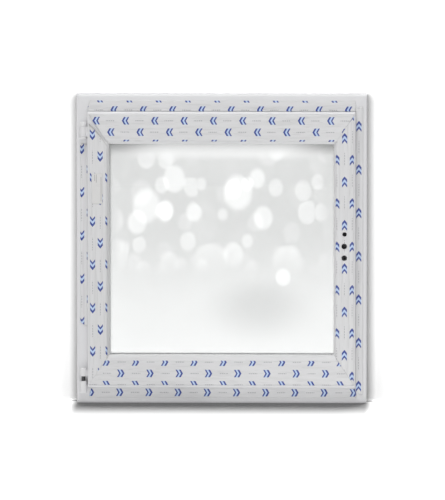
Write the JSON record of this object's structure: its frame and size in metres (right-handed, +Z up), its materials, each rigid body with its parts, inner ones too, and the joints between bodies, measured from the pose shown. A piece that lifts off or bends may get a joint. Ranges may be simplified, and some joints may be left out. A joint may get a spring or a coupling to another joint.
{
  "type": "pvc window",
  "caption": "White PVC window with a turning sash, double glazed, hinged on the left and drilled for a handle; mitred and welded frame.",
  "frame": {"origin": "middle of the frame's underside, on the sill face", "axes": "+Z up, +X to the right seen from the room, +Y from the room to the weather side"},
  "size_m": [0.535, 0.082, 0.57],
  "materials": {
    "pvc": "white extruded PVC, satin gloss",
    "bead_pvc": "white extruded PVC, satin gloss",
    "glass": "clear float glass",
    "spacer": "bare aluminium bar",
    "edge_sealant": "black sealant",
    "seal": "light grey extruded seal",
    "hinge_coat": "white coated metal",
    "steel": "dark steel",
    "cap_plastic": "moulded white plastic"
  },
  "bodies": {
    "root": {"frame_head": "pvc", "frame_sill": "pvc", "frame_left_jamb": "pvc", "frame_right_jamb": "pvc", "sash_top_rail": "pvc", "sash_bottom_rail": "pvc", "sash_left_stile": "pvc", "sash_right_stile": "pvc", "bead_top": "bead_pvc", "bead_bottom": "bead_pvc", "bead_left": "bead_pvc", "bead_right": "bead_pvc", "inner_pane": "glass", "outer_pane": "glass", "spacer_bar": "spacer", "edge_seal": "edge_sealant", "glazing_seal_inner": "seal", "glazing_seal_outer": "seal", "sash_seal": "seal", "frame_seal": "seal", "upper_hinge_bearing": "hinge_coat", "upper_hinge_arm": "hinge_coat", "lower_hinge_bearing": "hinge_coat", "lower_hinge_arm": "hinge_coat", "upper_hinge_pin": "steel", "lower_hinge_pin": "steel", "lock_case": "steel", "drain_cap_left": "cap_plastic", "drain_cap_right": "cap_plastic", "upper_hinge_cap": "cap_plastic", "lower_hinge_cap": "cap_plastic"}
  },
  "joints": []
}
